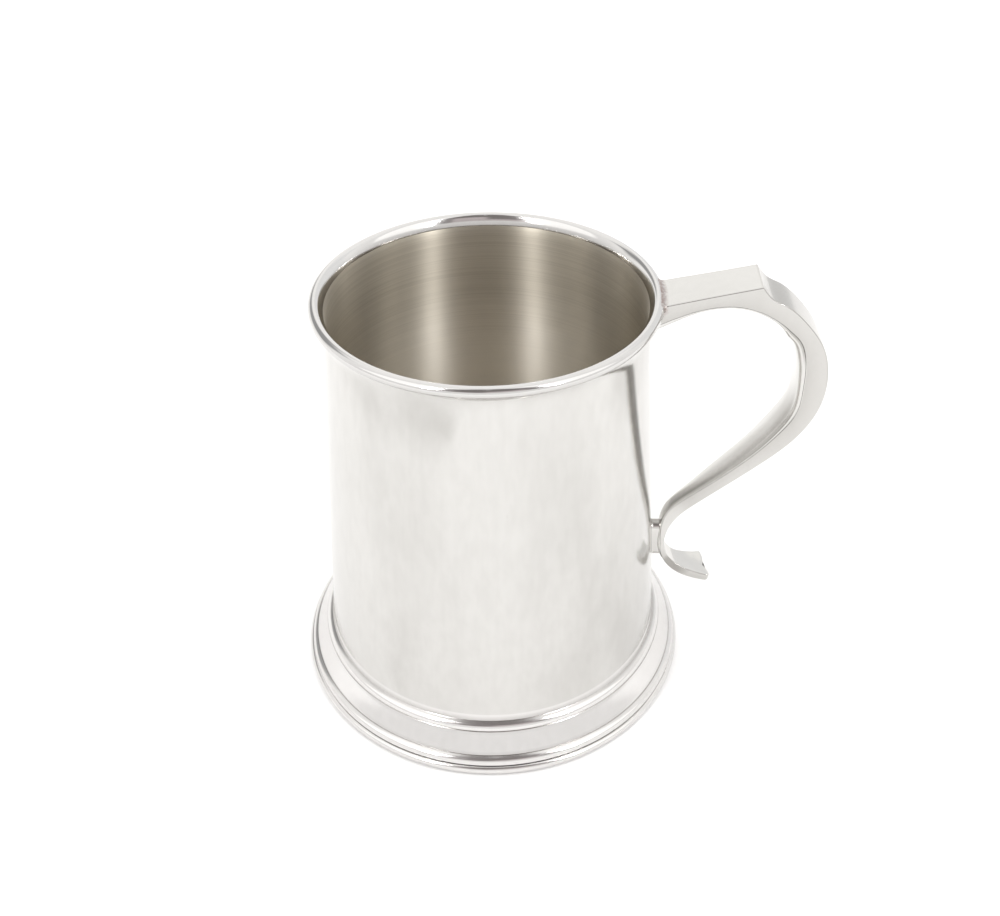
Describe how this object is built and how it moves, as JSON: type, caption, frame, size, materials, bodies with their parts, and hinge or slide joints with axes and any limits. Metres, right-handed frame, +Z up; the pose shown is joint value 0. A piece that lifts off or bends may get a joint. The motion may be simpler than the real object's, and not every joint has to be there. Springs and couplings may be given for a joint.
{
  "type": "tankard",
  "caption": "Silver pint tankard: tapered round drum with a wire lip, a stepped spreading foot and a scroll handle.",
  "frame": {"origin": "on the table, under the middle of the whole outline; the axis of the cup stands 14.7 mm from it, on the side away from the handle", "axes": "+Z up along the axis of the cup, +X towards the handle, +Y to the right of the handle seen from outside it"},
  "size_m": [0.1426, 0.1132, 0.1238],
  "materials": {
    "polished_silver": "polished silver",
    "satin_silver": "satin silver with fine turning marks"
  },
  "bodies": {
    "root": {"drum": "polished_silver", "lip_wire": "polished_silver", "base_plate": "satin_silver", "foot_moulding": "polished_silver", "foot_wire": "polished_silver", "handle_strap": "polished_silver", "handle_liner": "polished_silver", "joint_pad": "polished_silver"}
  },
  "joints": []
}
